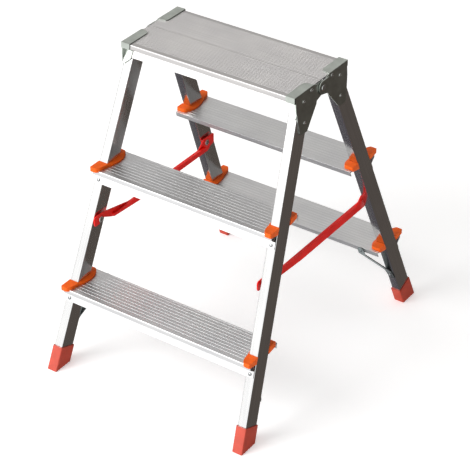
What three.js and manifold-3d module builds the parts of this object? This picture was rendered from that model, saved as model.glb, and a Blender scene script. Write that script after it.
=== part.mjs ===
// Folding double-sided step ladder: two tubular frames hinged under a split platform.
// Millimetres, +Z up, +X to the right, the front frame towards -Y. The origin is on the floor,
// at the centre of the footprint. Every piece is drawn for the right rear corner, where x and y
// are positive, and mirrored to the other corners.
import * as THREE from 'three';
import { mergeVertices } from 'three/addons/utils/BufferGeometryUtils.js';
import Module from 'manifold-3d';

const wasm = await Module();
wasm.setup();

// ---------------------------------------------------------------- driving dimensions
const gap = 0.3;                    // between pieces that touch
const platformTop = 690;
const treadTops = { lower: 185.5, middle: 434.6 };

const stileWidth = 20.7;            // along X
const stileDepth = 42.8;            // along Y, level cut of a 40 mm deep tube
const stileWall = 1.6;
const stileCorner = 1.3;
const floorHalfWidth = 252;         // outer face of a stile at the floor
const topHalfWidth = 207.6;         // and at the platform
const floorReach = 340.3;           // outer edge of a stile from the centre plane, at the floor
const topReach = 70;                // and at the platform
const stileFoot = 4.5;              // lower end of the tube, above the sole

const deckDepth = 95.7;             // front to back of a tread
const deckThickness = 2.6;
const treadOverhang = 22;           // nose in front of the stile
const treadWall = 1.8;
const kinkDrop = 20;                // where the skirt meets the slope of the stile
const skirtDrop = 34;
const lipDrop = 11.6;
const groovePitch = 8.93;
const grooveCount = 9;
const firstGroove = 12.5;           // behind the nose
const treadGroove = { width: 2.6, depth: 1 };
const platformGroove = { width: 1.2, depth: 0.35 };
const platformNose = 93.5;
const endInset = 1.8;               // tread end inside the stile's outer face

const clipHeight = 8;
const clipSkin = 0.8;               // clip proud of the stile's outer face
const clipWall = 1.8;
const clipNose = 6.5;               // clip in front of the tread's nose
const clipTail = 24.7;              // clip behind the stile
const clipBulge = 10;               // collar over the tread, beside the stile

const footWallX = 2;
const footWallY = 3;
const footSole = 4;
const footHeight = 61;              // cut of the top edge, in line with the sole's outer edge

const plateThickness = 2;
const plateFront = 92;              // front edge, level with the platform
const plateLow = 606;
const plateCorner = 6;
const armEdge = 16.6;               // edge of the plate beside the pin
const pivotHeight = 674;
const lobeRadius = 14;
const pinRadius = 2.9;
const pinHead = 6.2;
const flangeWidth = 19;
const flangeInnerEnd = 27;
const flangeThickness = 1.8;
const wrapTip = 640;                // lower corner of the flange over the platform's front
const layerGap = 0.9;               // between the two plates on one pin

const rivetShank = 2.2;
const rivetHole = 2.7;
const rivetHead = 3.9;
const treadRivetDrop = 27.5;
const plateRivets = [[36.5, 684], [65, 671.8], [65.5, 626.5]];

const braceHeight = 321;            // pivot and stud
const braceReach = { front: 196, rear: 183 };   // stud and pivot from the centre plane
const braceEnd = { front: 217, rear: 210 };
const braceWebX = 204.4;            // inner face of the upright leg
const braceWeb = 2;
const braceLedgeX = 199;            // inner edge of the level leg
const braceLedgeEnd = { front: 157, rear: 172 };
const braceLow = 298;
const braceHigh = 315.5;
const braceEndHalf = 13;
const braceCorner = 4;              // cut corners of the end plates
const braceBore = 3.4;
const pivotNeck = 3;
const studRadius = 4;
const studHead = 6.5;

const strutWidth = 15.9;
const strutThickness = 2;
const strutFoot = new THREE.Vector2(235, 94);   // x and z of the lower fixing
const strutSlope = 0.443;                       // sideways per millimetre of height

const leanX = (floorHalfWidth - topHalfWidth) / platformTop;
const leanY = (floorReach - topReach) / platformTop;
const outerX = (z) => floorHalfWidth - leanX * z;
const innerX = (z) => outerX(z) - stileWidth;
const outerY = (z) => floorReach - leanY * z;
const innerY = (z) => outerY(z) - stileDepth;

// ---------------------------------------------------------------- finishes
const finishes = {
  aluminium: { color: 0xc4c4c4, metalness: 0.9, roughness: 0.42 },
  zincSteel: { color: 0x7f867f, metalness: 0.85, roughness: 0.4 },
  orangePlastic: { color: 0xe85a14, metalness: 0, roughness: 0.5 },
  redPlastic: { color: 0xd8432c, metalness: 0, roughness: 0.55 },
  redPaint: { color: 0xd21f19, metalness: 0.1, roughness: 0.35 },
  rivetSteel: { color: 0xb9bbb6, metalness: 0.9, roughness: 0.3 },
};
const materials = Object.fromEntries(Object.entries(finishes).map(
  ([name, finish]) => [name, new THREE.MeshStandardMaterial(finish)]));

// ---------------------------------------------------------------- solids
function toSolid(geometry) {
  const bare = geometry.clone();
  bare.deleteAttribute('normal');
  bare.deleteAttribute('uv');
  const welded = mergeVertices(bare, 1e-4);
  const corners = welded.index.array;
  const triangles = [];
  for (let i = 0; i < corners.length; i += 3) {
    const [a, b, c] = corners.slice(i, i + 3);
    if (a !== b && b !== c && c !== a) triangles.push(a, b, c);
  }
  return new wasm.Manifold(new wasm.Mesh({
    numProp: 3,
    vertProperties: Float32Array.from(welded.attributes.position.array),
    triVerts: Uint32Array.from(triangles),
  }));
}

function toGeometry(solid) {
  const mesh = solid.getMesh();
  const geometry = new THREE.BufferGeometry();
  geometry.setAttribute('position', new THREE.BufferAttribute(mesh.vertProperties, 3));
  geometry.setIndex(new THREE.BufferAttribute(mesh.triVerts, 1));
  return geometry;
}

const joined = (...solids) => solids.reduce((whole, piece) => whole.add(piece));
const cut = (solid, ...tools) => tools.reduce((rest, tool) => rest.subtract(tool), solid);

function outline(points) {
  return new THREE.Shape(points.map(([a, b]) => new THREE.Vector2(a, b)));
}

// A plan outline in x and y, raised from one height to another.
function raised(points, low, high, matrix = new THREE.Matrix4()) {
  const geometry = new THREE.ExtrudeGeometry(outline(points),
    { depth: high - low, bevelEnabled: false });
  geometry.translate(0, 0, low);
  return toSolid(geometry.applyMatrix4(matrix));
}

// A side outline in y and z, drawn out along X.
function drawn(points, left, right, matrix = new THREE.Matrix4()) {
  const shape = points instanceof THREE.Shape ? points : outline(points);
  const geometry = new THREE.ExtrudeGeometry(shape,
    { depth: right - left, bevelEnabled: false, curveSegments: 4 });
  geometry.applyMatrix4(new THREE.Matrix4().set(
    0, 0, 1, left,
    1, 0, 0, 0,
    0, 1, 0, 0,
    0, 0, 0, 1));
  return toSolid(geometry.applyMatrix4(matrix));
}

// What is drawn at the floor follows the stile's lean, in both directions or sideways only.
const shear = (x, y) => new THREE.Matrix4().set(
  1, 0, -x, 0,
  0, 1, -y, 0,
  0, 0, 1, 0,
  0, 0, 0, 1);
const alongStile = shear(leanX, leanY);
const sideways = shear(leanX, 0);

const rectangle = (x0, x1, y0, y1) => [[x0, y0], [x1, y0], [x1, y1], [x0, y1]];

// A turned piece: profile points are radius and distance along the axis from the origin point.
function turned(profile, origin, axis, segments = 10) {
  const points = profile.map(([r, d]) => new THREE.Vector2(r, d));
  const geometry = new THREE.LatheGeometry(points, segments);
  geometry.applyQuaternion(new THREE.Quaternion().setFromUnitVectors(
    new THREE.Vector3(0, 1, 0), axis.clone().normalize()));
  geometry.translate(...origin.toArray());
  return toSolid(geometry);
}

const bore = (radius, origin, axis, from, to) => turned(
  [[0, from], [radius, from], [radius, to], [0, to]], origin, axis);

// A domed rivet: its origin point lies on the outer surface that the head sits on.
function rivet(origin, axis, grip, head = rivetHead, dome = 2) {
  return turned([
    [0, -grip - 1.5], [rivetShank + 1, -grip - 1.5], [rivetShank + 1.3, -grip],
    [rivetShank, -grip], [rivetShank, gap], [head, gap], [head * 0.86, gap + dome * 0.6],
    [head * 0.45, gap + dome], [0, gap + dome],
  ], origin, axis);
}

// ---------------------------------------------------------------- fixing points
const frontNormal = new THREE.Vector3(0, 1, leanY).normalize();
const sideNormal = new THREE.Vector3(1, 0, leanX).normalize();
const rightwards = new THREE.Vector3(1, 0, 0);

const flangeFace = (z) => outerY(z) + gap + treadWall / Math.cos(Math.atan(leanY)) + 0.1;

function treadRivetPoint(top) {
  const z = top - treadRivetDrop;
  return new THREE.Vector3(outerX(z) - stileWidth / 2, flangeFace(z), z);
}

const plateFace = (z) => outerX(z) + gap + plateThickness;
const plateRivetPoint = ([y, z]) => new THREE.Vector3(plateFace(z), y, z);

// ---------------------------------------------------------------- stiles
// A rectangle with its corners rounded in three steps each.
function rounded(x0, x1, y0, y1, radius, steps = 3) {
  const centres = [[x1 - radius, y1 - radius], [x0 + radius, y1 - radius],
    [x0 + radius, y0 + radius], [x1 - radius, y0 + radius]];
  return centres.flatMap(([x, y], quarter) => Array.from({ length: steps + 1 }, (_, i) => {
    const angle = (quarter + i / steps) * Math.PI / 2;
    return [x + radius * Math.cos(angle), y + radius * Math.sin(angle)];
  }));
}

function stileSection() {
  const x0 = floorHalfWidth - stileWidth;
  const y0 = floorReach - stileDepth;
  const shape = outline(rounded(x0, floorHalfWidth, y0, floorReach, stileCorner));
  const w = stileWall;
  shape.holes.push(outline(rectangle(
    x0 + w, floorHalfWidth - w, y0 + w, floorReach - w)));
  return shape;
}

function stile(end) {
  const top = platformTop - deckThickness - gap;
  const geometry = new THREE.ExtrudeGeometry(stileSection(),
    { depth: top - stileFoot, bevelEnabled: false, curveSegments: 3 });
  geometry.translate(0, 0, stileFoot);
  const tube = toSolid(geometry.applyMatrix4(alongStile));
  const treadHoles = Object.values(treadTops).map(
    (top) => bore(rivetHole, treadRivetPoint(top), frontNormal, -8, 4));
  const plateHoles = plateRivets.map(
    (place) => bore(rivetHole, plateRivetPoint(place), sideNormal, -8, 4));
  const braceHole = bore(rivetShank + 0.9, bracePoint(end), rightwards,
    innerX(braceHeight) - 5, innerX(braceHeight) + 5);
  return cut(tube, ...treadHoles, ...plateHoles, braceHole);
}

// The space that a stile takes up, with a gap round it and the given room on its outer side.
function stileSpace(outward = gap) {
  return raised(rectangle(
    floorHalfWidth - stileWidth - gap, floorHalfWidth + outward,
    floorReach - stileDepth - gap, floorReach + gap),
  -5, platformTop + 20, alongStile);
}

// ---------------------------------------------------------------- treads and platform
function deckProfile(nose, inner, top, groove) {
  const points = [[inner, top]];
  for (let i = grooveCount - 1; i >= 0; i--) {
    const middle = nose - firstGroove - groovePitch * i;
    points.push([middle - groove.width / 2, top]);
    points.push([middle, top - groove.depth]);
    points.push([middle + groove.width / 2, top]);
  }
  const kink = top - kinkDrop;
  const low = top - skirtDrop;
  const thick = treadWall / Math.cos(Math.atan(leanY));
  points.push([nose - 2.4, top], [nose - 0.7, top - 0.7], [nose, top - 2.4], [nose, top - 4.4]);
  points.push([flangeFace(kink), kink], [flangeFace(low), low]);
  points.push([flangeFace(low) - thick, low], [flangeFace(kink) - thick, kink + 0.9]);
  points.push([nose - 2.3, top - 5], [nose - 3.2, top - deckThickness]);
  points.push([inner + treadWall, top - deckThickness]);
  points.push([inner + treadWall, top - lipDrop], [inner, top - lipDrop]);
  return points;
}

function tread(top) {
  const nose = outerY(top) + treadOverhang;
  const end = floorHalfWidth + 5;
  const bar = drawn(deckProfile(nose, nose - deckDepth, top, treadGroove), -end, end);
  const beyond = raised(rectangle(floorHalfWidth - endInset, floorHalfWidth + 60, 0, 700),
    -5, platformTop, sideways);
  const hole = bore(rivetHole, treadRivetPoint(top), frontNormal, -8, 4);
  const half = joined(stileSpace(60), beyond, hole);
  return cut(bar, half, mirrored(half, -1, 1));
}

function platform() {
  const end = topHalfWidth - gap;
  return drawn(deckProfile(platformNose, gap, platformTop, platformGroove), -end, end);
}

// ---------------------------------------------------------------- clips
function clip(top) {
  const xo = outerX(top);
  const xi = xo - stileWidth;
  const front = outerY(top);
  const rear = innerY(top);
  const nose = front + treadOverhang;
  const tip = nose + clipNose;
  const tail = rear - clipTail;
  const side = xo + clipSkin;
  const plan = [
    [side, tip], [xi + 6.5, tip - 0.8], [xi + 1, nose - 3.5], [xi - 3.5, front - 3],
    [xi - 7, front - 12], [xi - clipBulge, rear + 12], [xi - clipBulge + 0.5, rear],
    [xi - 7, rear - 10], [xi - 1, tail + 3.5], [xi + 5, tail], [side, tail]];
  const profile = [
    [tail, top - 2.4], [rear, top - 7], [front, top - 7], [tip, top - 1.5],
    [tip, top + clipHeight], [tail, top + clipHeight]];
  const block = raised(plan, top - 10, top + clipHeight + 2)
    .intersect(drawn(profile, xi - 20, side + 5));
  const overTread = drawn([[0, top - 40], [nose + gap, top - 40], [nose + gap, top - 2.2],
    [nose - 0.4, top - 0.4], [nose - 2.2, top + gap], [0, top + gap]], 0, side - clipWall);
  const slope = drawn([[0, 0], [700, 0], [700, 30], [0, 30]], -40, 0);
  const tilt = new THREE.Matrix4().makeRotationY(-Math.atan(5.5 / clipBulge));
  tilt.setPosition(xi - 0.5, 0, top + clipHeight);
  return cut(block, overTread, stileSpace(60), moved(slope, tilt));
}

// ---------------------------------------------------------------- feet
function foot() {
  const outer = raised(rectangle(
    floorHalfWidth - stileWidth - footWallX, floorHalfWidth + footWallX,
    floorReach - stileDepth - footWallY, floorReach + footWallY), 0, 90, alongStile);
  const inside = cut(stileSpace(), raised(rectangle(0, 700, 0, 700), -20, footSole));
  const edge = floorReach + footWallY;
  const above = drawn([[edge + 40, footHeight + 40 * leanY], [edge - 120, footHeight - 120 * leanY],
    [edge - 120, 200], [edge + 40, 200]], 0, 400);
  return cut(outer, inside, above);
}

// ---------------------------------------------------------------- hinge plates
function plateOutline() {
  const top = platformTop + 1;
  const low = plateLow + plateCorner;
  const shape = new THREE.Shape();
  shape.moveTo(plateFront, top);
  shape.lineTo(plateFront, platformTop - 28);
  shape.lineTo(outerY(wrapTip) + 0.5, wrapTip);
  shape.lineTo(84, low);
  shape.quadraticCurveTo(83, plateLow, 77, plateLow);
  shape.lineTo(62, plateLow);
  shape.quadraticCurveTo(58, plateLow, 55, plateLow + 3);
  shape.lineTo(armEdge + 5.4, plateLow + 40);
  shape.lineTo(armEdge, pivotHeight - 10);
  shape.lineTo(armEdge, pivotHeight + lobeRadius);
  shape.lineTo(flangeInnerEnd, top);
  return shape;
}

function disc(radius, y, z, segments = 20) {
  return Array.from({ length: segments }, (_, i) => {
    const angle = (i / segments) * Math.PI * 2;
    return [y + radius * Math.cos(angle), z + radius * Math.sin(angle)];
  });
}

// The arm that carries the pin: the disc and its neck to the plate.
function lobe(left, right, reach) {
  return joined(
    drawn(disc(lobeRadius, 0, pivotHeight), left, right, sideways),
    drawn([[0, pivotHeight - lobeRadius], [reach, pivotHeight - lobeRadius - 6],
      [reach, pivotHeight + lobeRadius], [0, pivotHeight + lobeRadius]], left, right, sideways));
}

// The flange over the platform, and the three-cornered one wrapped over its front edge.
function flanges() {
  const outer = outerX(platformTop) + gap + plateThickness - 0.4;
  const inner = outer - flangeWidth - plateThickness;
  const low = platformTop + gap;
  const high = low + flangeThickness;
  const face = platformNose + gap;
  const top = raised([[inner, flangeInnerEnd + 9], [inner + 3, flangeInnerEnd + 4],
    [outer, flangeInnerEnd], [outer, face + flangeThickness], [inner, face + flangeThickness]],
  low, high);
  const drop = platformTop - 4.4;
  const kink = platformTop - kinkDrop;
  const [atKink, atTip] = [flangeFace(kink) + gap, flangeFace(wrapTip) + gap];
  const wrap = drawn([[face, high - 0.1], [face, drop], [atKink, kink], [atTip, wrapTip],
    [atTip + flangeThickness, wrapTip], [atKink + flangeThickness, kink],
    [face + flangeThickness, drop - 0.6], [face + flangeThickness, high - 0.1]], inner, outer);
  const corner = new THREE.ExtrudeGeometry(outline([
    [inner - 30, platformTop - 2], [inner - 0.1, platformTop - 2], [inner + 4.5, wrapTip + 14],
    [outer + 1, wrapTip], [outer + 1, wrapTip - 40], [inner - 30, wrapTip - 40]]),
  { depth: 200, bevelEnabled: false });
  corner.rotateX(Math.PI / 2);
  corner.translate(0, 220, 0);
  return [top, cut(wrap, toSolid(corner))];
}

function hingePlate(outside) {
  const inFace = floorHalfWidth + gap;
  const outFace = inFace + plateThickness;
  const body = joined(drawn(plateOutline(), inFace, outFace, sideways), ...flanges());
  const pinPoint = new THREE.Vector3(0, 0, pivotHeight);
  const holes = plateRivets.map(
    (place) => bore(rivetHole, plateRivetPoint(place), sideNormal, -8, 4));
  holes.push(bore(pinRadius + 0.35, pinPoint, rightwards, 180, 240));
  if (!outside) return cut(joined(body, lobe(inFace, outFace, armEdge + 3.4)), ...holes);
  const nextFace = outFace + layerGap;
  const nextEnd = nextFace + plateThickness;
  const arm = lobe(nextFace, nextEnd, armEdge + 5.4);
  const step = drawn(rectangle(armEdge + 0.4, armEdge + 5.4, pivotHeight - 18, pivotHeight + 12),
    inFace, nextEnd, sideways);
  return cut(joined(body, arm, step), ...holes);
}

function hingePin() {
  const face = plateFace(pivotHeight) + layerGap + plateThickness + 1.2;
  const innerHead = 206;
  return turned([
    [0, innerHead], [4, innerHead], [4, innerHead + 1.6], [pinRadius, innerHead + 1.6],
    [pinRadius, face], [pinHead, face], [pinHead - 0.6, face + 1.8], [3, face + 2.8],
    [0, face + 2.8],
  ], new THREE.Vector3(0, 0, pivotHeight), rightwards, 14);
}

// ---------------------------------------------------------------- braces
const bracePoint = (end) => new THREE.Vector3(0, braceReach[end], braceHeight);

// Where the folding stud's edge leaves the brace free, at a height above the floor.
function studSweep(z) {
  const radius = Math.hypot(braceReach.front, pivotHeight - braceHeight) - studRadius - 0.6;
  return -Math.sqrt(radius ** 2 - (pivotHeight - z) ** 2);
}

// One angle bar: pivoted on the rear stile, hooked over a stud on the front stile.
function brace() {
  const c = braceCorner;
  const low = braceHeight - braceEndHalf;
  const high = braceHeight + braceEndHalf;
  const claw = -(braceReach.front + studRadius + 0.4);
  const clawLow = braceHeight - 9.5;
  const roof = braceHeight + studRadius + 0.4;
  const front = -braceEnd.front;
  const rear = braceEnd.rear;
  const pivot = braceReach.rear;
  const mouth = braceLow + 6;
  const slot = [0, 0.25, 0.5, 0.75, 1].map((t) => mouth + t * (roof - mouth));
  const side = [
    [front + c, clawLow], [front, clawLow + c], [front, high - c], [front + c, high],
    [claw + 16, high], [claw + 100, braceHigh], [pivot - 28, braceHigh],
    [pivot - 10, high], [rear - c, high], [rear, high - c], [rear, low + c],
    [rear - c, low], [pivot + 14, low], [pivot + 6, braceLow],
    [claw + 140, braceLow], ...slot.map((z) => [studSweep(z), z]), [claw, roof], [claw, clawLow]];
  const web = drawn(side, braceWebX, braceWebX + braceWeb);
  const ledge = drawn(
    rectangle(-braceLedgeEnd.front, braceLedgeEnd.rear, braceHigh - braceWeb, braceHigh),
    braceLedgeX, braceWebX + 0.5);
  const hole = bore(braceBore, bracePoint('rear'), rightwards, braceWebX - 5, braceWebX + 5);
  return cut(joined(web, ledge), hole);
}

// The shouldered stud that holds a brace end off the stile; the neck is what the brace rides on.
function braceStud(neck, end) {
  const wall = innerX(braceHeight);
  const outside = braceWebX + braceWeb + 0.4;
  return turned([
    [0, braceWebX - 2.8], [studHead - 2, braceWebX - 2.8], [studHead, braceWebX - 1.2],
    [studHead, braceWebX - 0.4], [neck, braceWebX - 0.4], [neck, outside],
    [studHead, outside], [studHead, wall - 0.8], [rivetShank, wall - 0.8],
    [rivetShank, wall + stileWall + 0.7], [rivetShank + 1.6, wall + stileWall + 0.7],
    [rivetShank + 1.2, wall + stileWall + 2], [0, wall + stileWall + 2],
  ], bracePoint(end), rightwards, 14);
}

// ---------------------------------------------------------------- struts
// A flat strip from the stile's inward face to the tread's inner lip.
function strut() {
  const top = treadTops.lower;
  const lip = outerY(top) + treadOverhang - deckDepth - gap;
  const t = strutThickness;
  const low = strutFoot.y - 13;
  const bend = strutFoot.y + 9;
  const face = (z) => innerY(z) - gap;
  const side = [
    [face(low), low], [face(bend), bend], [lip, top - 14], [lip, top - 1.5],
    [lip - t, top - 1.5], [lip - t, top - 14.8], [face(bend) - t * 1.2, bend - 1.2],
    [face(low) - t * 1.1, low]];
  const offset = new THREE.Matrix4().set(
    1, 0, -strutSlope, strutSlope * strutFoot.y,
    0, 1, 0, 0,
    0, 0, 1, 0,
    0, 0, 0, 1);
  return drawn(side, strutFoot.x - strutWidth / 2, strutFoot.x + strutWidth / 2, offset);
}

// ---------------------------------------------------------------- placing
function moved(solid, matrix) {
  return toSolid(toGeometry(solid).applyMatrix4(matrix));
}

function flipped(geometry) {
  const corners = geometry.index.array;
  for (let i = 0; i < corners.length; i += 3) {
    [corners[i + 1], corners[i + 2]] = [corners[i + 2], corners[i + 1]];
  }
  return geometry;
}

function mirrored(solid, sideX, sideY) {
  const geometry = toGeometry(solid).applyMatrix4(new THREE.Matrix4().makeScale(sideX, sideY, 1));
  return toSolid(sideX * sideY < 0 ? flipped(geometry) : geometry);
}

const ladder = new THREE.Group();
ladder.name = 'step_ladder';

function place(name, solid, finish) {
  const geometry = toGeometry(solid);
  geometry.computeVertexNormals();
  const mesh = new THREE.Mesh(geometry, materials[finish]);
  mesh.name = name;
  ladder.add(mesh);
}

const ends = [['front', -1], ['rear', 1]];
const sides = [['left', -1], ['right', 1]];

for (const [end, y] of ends) {
  place(`${end}_platform_half`, mirrored(platform(), 1, y), 'aluminium');
  for (const [level, top] of Object.entries(treadTops)) {
    place(`${end}_${level}_tread`, mirrored(tread(top), 1, y), 'aluminium');
  }
  for (const [side, x] of sides) {
    const at = (solid) => mirrored(solid, x, y);
    place(`${end}_${side}_stile`, at(stile(end)), 'aluminium');
    place(`${end}_${side}_foot`, at(foot()), 'redPlastic');
    place(`${end}_${side}_hinge_plate`, at(hingePlate(end === 'rear')), 'zincSteel');
    place(`${end}_${side}_strut`, at(strut()), 'zincSteel');
    for (const [level, top] of Object.entries(treadTops)) {
      place(`${end}_${side}_${level}_clip`, at(clip(top)), 'orangePlastic');
      place(`${end}_${side}_${level}_tread_rivet`,
        at(rivet(treadRivetPoint(top), frontNormal, 4.6)), 'rivetSteel');
    }
    plateRivets.forEach((spot, i) => place(`${end}_${side}_plate_rivet_${i + 1}`,
      at(rivet(plateRivetPoint(spot), sideNormal, 4.8, i === 0 ? 4.2 : rivetHead)), 'rivetSteel'));
  }
}

for (const [side, x] of sides) {
  place(`${side}_hinge_pin`, mirrored(hingePin(), x, 1), 'rivetSteel');
  place(`${side}_brace`, mirrored(brace(), x, 1), 'redPaint');
  place(`${side}_brace_pivot`, mirrored(braceStud(pivotNeck, 'rear'), x, 1), 'rivetSteel');
  place(`${side}_brace_stud`, mirrored(braceStud(studRadius, 'front'), x, -1), 'rivetSteel');
}

export default ladder;
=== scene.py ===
"""A folding double-sided step ladder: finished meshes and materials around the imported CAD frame.

Shapes are drawn in millimetres for the right rear corner, where x and y are positive, and
mirrored to the other corners. MM turns them into metres as a mesh is made.
"""

import math

import bmesh
import bpy
from mathutils import Matrix, Vector


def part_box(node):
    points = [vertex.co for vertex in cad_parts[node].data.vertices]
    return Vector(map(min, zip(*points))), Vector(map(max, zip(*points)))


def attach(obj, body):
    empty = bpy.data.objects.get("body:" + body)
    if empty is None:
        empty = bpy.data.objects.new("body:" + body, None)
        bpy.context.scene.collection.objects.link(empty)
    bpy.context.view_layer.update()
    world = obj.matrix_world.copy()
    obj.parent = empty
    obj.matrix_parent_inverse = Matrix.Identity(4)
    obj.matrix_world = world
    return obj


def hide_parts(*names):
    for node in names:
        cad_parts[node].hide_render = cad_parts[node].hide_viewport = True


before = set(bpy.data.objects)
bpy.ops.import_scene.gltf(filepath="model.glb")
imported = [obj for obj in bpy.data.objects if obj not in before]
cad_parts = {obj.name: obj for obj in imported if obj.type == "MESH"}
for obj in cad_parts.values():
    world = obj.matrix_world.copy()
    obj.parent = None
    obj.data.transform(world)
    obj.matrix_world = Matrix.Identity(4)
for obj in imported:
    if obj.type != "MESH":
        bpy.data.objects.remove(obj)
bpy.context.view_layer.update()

MM = 0.001


# ---------------------------------------------------------------- sizes, from the frame
def box_mm(node):
    low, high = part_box(node)
    return low / MM, high / MM


GAP = 0.3                           # between neighbouring pieces
CLEAR = 60.0                        # how far a cutting shape reaches past what it cuts
FAR = 700.0                         # beyond the whole ladder
STILE_WIDTH = 20.7
STILE_DEPTH = 42.8
STILE_WALL = 1.6
STILE_CORNER = 2.0
BORE_CORNER = 0.7

stile_low, stile_high = box_mm("rear_right_stile")
STILE_RISE = stile_high.z - stile_low.z
LEAN_X = (stile_high.x - stile_low.x - STILE_WIDTH) / STILE_RISE
LEAN_Y = (stile_high.y - stile_low.y - STILE_DEPTH) / STILE_RISE
FLOOR_X = stile_high.x + LEAN_X * stile_low.z
FLOOR_Y = stile_high.y + LEAN_Y * stile_low.z
ALONG = (LEAN_X, LEAN_Y)
SIDEWAYS = (LEAN_X, 0.0)

TREAD_TOPS = {level: box_mm(f"rear_{level}_tread")[1].z for level in ("lower", "middle")}
DECK_DEPTH = 95.7
DECK_THICKNESS = 2.6
TREAD_OVERHANG = 22.0
SKIRT_WALL = 1.8
SKIRT_FACE = SKIRT_WALL * math.hypot(1, LEAN_Y)
SKIRT_PLAY = 0.1                    # added to the gap between skirt and stile
KINK_DROP = 20.0
SKIRT_DROP = 34.0
LIP_DROP = 11.6
END_INSET = 1.8

platform_high = box_mm("rear_platform_half")[1]
PLATFORM_TOP = platform_high.z
PLATFORM_NOSE = platform_high.y
PLATFORM_END = platform_high.x

RIVET_SHANK = 2.2
RIVET_HEAD = 3.9
TREAD_RIVET_DROP = 27.5
PLATE_RIVETS = ((36.5, 684.0), (65.0, 671.8), (65.5, 626.5))
PLATE_THICKNESS = 2.0
PIVOT_HEIGHT = 674.0
LAYER_GAP = 0.9


def outer_x(z):
    return FLOOR_X - LEAN_X * z


def inner_x(z):
    return outer_x(z) - STILE_WIDTH


def outer_y(z):
    return FLOOR_Y - LEAN_Y * z


def inner_y(z):
    return outer_y(z) - STILE_DEPTH


def skirt_face(z):
    """The outward face of a tread's skirt, where it lies on the stile."""
    return outer_y(z) + GAP + SKIRT_FACE + SKIRT_PLAY


def plate_face(z):
    return outer_x(z) + GAP + PLATE_THICKNESS


# ---------------------------------------------------------------- mesh tools
TURN_STEPS = 28
EASE_STEPS = 4
LONGEST_EASE = 0.45                 # of the side next to a corner


def new_object(name, mesh):
    obj = bpy.data.objects.new(name, mesh)
    bpy.context.scene.collection.objects.link(obj)
    return obj


def finished(shape):
    """The object of a bmesh, with its faces turned outwards."""
    bmesh.ops.recalc_face_normals(shape, faces=shape.faces)
    mesh = bpy.data.meshes.new("solid")
    shape.to_mesh(mesh)
    shape.free()
    return new_object("solid", mesh)


def prism(outline, low, high, along="x", lean=(0.0, 0.0)):
    """An outline in the two other axes, drawn out along one axis, then leaned."""
    shape = bmesh.new()
    rings = []
    for level in (low, high):
        ring = []
        for a, b in outline:
            x, y, z = {"x": (level, a, b), "y": (a, level, b), "z": (a, b, level)}[along]
            ring.append(shape.verts.new(Vector((x - lean[0] * z, y - lean[1] * z, z)) * MM))
        rings.append(ring)
        shape.faces.new(ring)
    for i in range(len(outline)):
        j = (i + 1) % len(outline)
        shape.faces.new((rings[0][i], rings[0][j], rings[1][j], rings[1][i]))
    return finished(shape)


def turned(profile, origin, axis):
    """A lathe shape: profile points are radius and distance from origin along axis."""
    shape = bmesh.new()
    turn = Vector((0, 0, 1)).rotation_difference(Vector(axis)).to_matrix()
    rings = []
    for radius, distance in profile:
        angles = [math.tau * i / TURN_STEPS for i in range(TURN_STEPS if radius > 0 else 1)]
        points = [(radius * math.cos(angle), radius * math.sin(angle)) for angle in angles]
        rings.append([
            shape.verts.new((Vector(origin) + turn @ Vector((x, y, distance))) * MM)
            for x, y in points
        ])
    for lower, upper in zip(rings, rings[1:]):
        for i in range(TURN_STEPS):
            j = (i + 1) % TURN_STEPS
            corners = [lower[i % len(lower)], lower[j % len(lower)],
                       upper[j % len(upper)], upper[i % len(upper)]]
            shape.faces.new(list(dict.fromkeys(corners)))
    return finished(shape)


def combined(base, tools, operation):
    for tool in tools:
        step = base.modifiers.new("step", "BOOLEAN")
        step.operation = operation
        step.solver = "EXACT"
        step.object = tool
    bpy.context.view_layer.update()
    graph = bpy.context.evaluated_depsgraph_get()
    mesh = bpy.data.meshes.new_from_object(base.evaluated_get(graph))
    base.modifiers.clear()
    base.data = mesh
    for tool in tools:
        bpy.data.objects.remove(tool)
    return base


def joined(base, *tools):
    return combined(base, tools, "UNION")


def cut(base, *tools):
    return combined(base, tools, "DIFFERENCE")


def kept(base, *tools):
    return combined(base, tools, "INTERSECT")


def mirrored_copy(obj, side_x, side_y):
    mesh = obj.data.copy()
    mesh.transform(Matrix.Diagonal((side_x, side_y, 1, 1)))
    if side_x * side_y < 0:
        mesh.flip_normals()
    return new_object(obj.name, mesh)


def rectangle(x0, x1, y0, y1):
    return [(x0, y0), (x1, y0), (x1, y1), (x0, y1)]


def arc(x, y, radius, start, end, steps):
    """Points of an arc, with its angles in degrees."""
    angles = [math.radians(start + (end - start) * i / steps) for i in range(steps + 1)]
    return [(x + radius * math.cos(a), y + radius * math.sin(a)) for a in angles]


def rounded_rectangle(x0, x1, y0, y1, r, steps=5):
    return (arc(x1 - r, y1 - r, r, 0, 90, steps) + arc(x0 + r, y1 - r, r, 90, 180, steps)
            + arc(x0 + r, y0 + r, r, 180, 270, steps) + arc(x1 - r, y0 + r, r, 270, 360, steps))


def eased(points, radius):
    """An outline with each corner rounded by up to the radius."""
    corners = [Vector(p) for p in points]
    result = []
    for i, corner in enumerate(corners):
        before = corners[i - 1] - corner
        after = corners[(i + 1) % len(corners)] - corner
        reach = min(radius, before.length * LONGEST_EASE, after.length * LONGEST_EASE)
        start = corner + before.normalized() * reach
        end = corner + after.normalized() * reach
        for k in range(EASE_STEPS + 1):
            t = k / EASE_STEPS
            point = start * (1 - t) ** 2 + corner * 2 * t * (1 - t) + end * t ** 2
            result.append((point.x, point.y))
    return result


# ---------------------------------------------------------------- material tools
def new_material(name, metallic, specular=0.5, coat=0.0, subsurface=0.0):
    material = bpy.data.materials.new(name)
    material.use_nodes = True
    shader = material.node_tree.nodes["Principled BSDF"]
    shader.inputs["Metallic"].default_value = metallic
    shader.inputs["Specular IOR Level"].default_value = specular
    shader.inputs["Coat Weight"].default_value = coat
    shader.inputs["Subsurface Weight"].default_value = subsurface
    shader.inputs["Subsurface Scale"].default_value = 0.002
    return material, shader


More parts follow.
